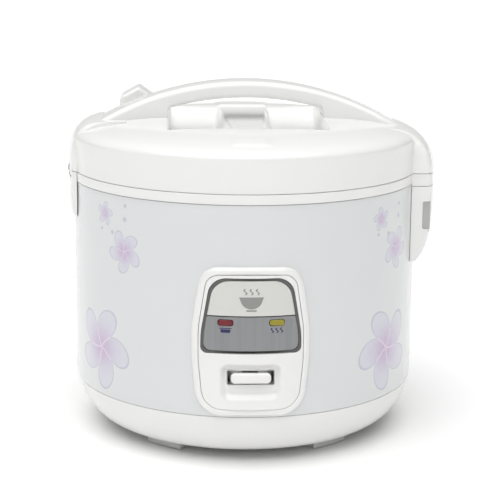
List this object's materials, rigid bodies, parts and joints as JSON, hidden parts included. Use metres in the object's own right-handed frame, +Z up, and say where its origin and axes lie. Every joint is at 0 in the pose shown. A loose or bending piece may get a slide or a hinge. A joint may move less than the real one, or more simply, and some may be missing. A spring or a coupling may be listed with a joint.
{
  "type": "rice cooker",
  "caption": "Round jar rice cooker with a hinged domed lid, arched carrying handle, side release latch, steam vent cap, lift-out pot and a front lever panel.",
  "frame": {"origin": "middle of the footprint, at the table", "axes": "+Z up, the control panel faces -Y, the release latch is at +X and the lid's hinge at -X"},
  "size_m": [0.2741, 0.2628, 0.2605],
  "materials": {
    "white_plastic": "glossy warm white moulded plastic",
    "painted_shell": "glossy pale grey-white paint with a printed flower pattern",
    "dark_trim": "satin dark grey",
    "badge_grey": "satin light warm grey",
    "brushed_panel": "brushed vertically",
    "lens_red": "clear tinted red",
    "lens_yellow": "clear tinted yellow",
    "rubber": "matt off-white",
    "silicone": "matt translucent white",
    "aluminium": "satin",
    "steel": "satin",
    "brass": "satin",
    "black_plastic": "matt",
    "board": "satin solder mask",
    "ceramic": "matt",
    "wire_red": "satin insulation",
    "wire_blue": "satin insulation"
  },
  "bodies": {
    "base": {"base_pan": "white_plastic", "foot_front_left": "rubber", "foot_front_right": "rubber", "foot_rear_left": "rubber", "foot_rear_right": "rubber", "base_screw_1": "steel", "base_screw_2": "steel", "base_screw_3": "steel", "body_shell": "painted_shell", "upper_ring": "white_plastic", "inner_casing": "aluminium", "keep_warm_band": "steel", "heating_plate": "aluminium", "heater_terminal_left": "brass", "heater_terminal_right": "brass", "thermostat_sleeve": "steel", "thermostat_spring": "steel", "lever_bracket": "steel", "lever_pin": "steel", "micro_switch": "black_plastic", "terminal_block": "ceramic", "thermal_fuse": "ceramic", "wire_live": "wire_red", "wire_neutral": "wire_blue", "wire_lamps": "wire_red", "lamp_board": "board", "power_inlet": "black_plastic", "inlet_pin_live": "brass", "inlet_pin_neutral": "brass", "inlet_pin_earth": "brass", "control_bezel": "white_plastic", "control_plate": "white_plastic", "display_frame": "dark_trim", "badge_plate": "badge_grey", "lamp_panel": "brushed_panel", "lamp_lens_cook": "lens_red", "lamp_lens_warm": "lens_yellow", "latch_housing": "white_plastic", "hinge_cover": "white_plastic", "hinge_bracket": "steel", "hinge_pin": "steel", "hinge_spring": "steel"},
    "lid": {"lid_cover": "white_plastic", "handle_upper": "white_plastic", "handle_lower": "white_plastic", "lid_liner": "white_plastic", "inner_lid_plate": "aluminium", "lid_gasket": "silicone", "lid_stud": "steel", "latch_hook": "steel", "steam_vent_tube": "white_plastic", "hinge_arm": "steel"},
    "steam_cap": {"steam_vent_cap": "white_plastic"},
    "release_button": {"release_button": "white_plastic", "release_spring": "steel"},
    "cook_lever": {"cook_lever_arm": "steel", "cook_lever_paddle": "white_plastic"},
    "magnet_plunger": {"magnet_plunger": "steel"},
    "thermostat": {"thermostat_cap": "aluminium"},
    "inner_pot": {"inner_pot": "aluminium"}
  },
  "joints": [
    {"name": "lid_open", "type": "hinge", "parent": "base", "child": "lid", "pos_m": [-0.13305, 0.00264, 0.1968], "axis": [0, -1, 0], "range_deg": [0, 85]},
    {"name": "steam_cap_lift", "type": "slide", "parent": "lid", "child": "steam_cap", "axis": [0, 0, 1], "range_m": [0, 0.025]},
    {"name": "release_press", "type": "slide", "parent": "base", "child": "release_button", "axis": [-1, 0, 0], "range_m": [0, 0.0023], "stiffness_N_per_m": 900, "springref_m": -0.002},
    {"name": "cook_lever_press", "type": "hinge", "parent": "base", "child": "cook_lever", "pos_m": [-0.00475, -0.07236, 0.034], "axis": [1, 0, 0], "range_deg": [0, 4.5], "stiffness_Nm_per_rad": 0.4, "springref_deg": -11.46},
    {"name": "magnet_lift", "type": "slide", "parent": "base", "child": "magnet_plunger", "axis": [0, 0, 1], "range_m": [0, 0.0057]},
    {"name": "thermostat_press", "type": "slide", "parent": "base", "child": "thermostat", "axis": [0, 0, 1], "range_m": [-0.002, 0], "stiffness_N_per_m": 600, "springref_m": 0.003, "deforming": ["thermostat_spring"]},
    {"name": "pot_turn", "type": "hinge", "parent": "base", "child": "inner_pot", "pos_m": [-0.00475, 0.00264, 0.052], "axis": [0, 0, 1], "continuous": true}
  ],
  "couplings": [
    {"joint": "magnet_lift", "follows": "cook_lever_press", "m_per_rad": 0.07}
  ]
}
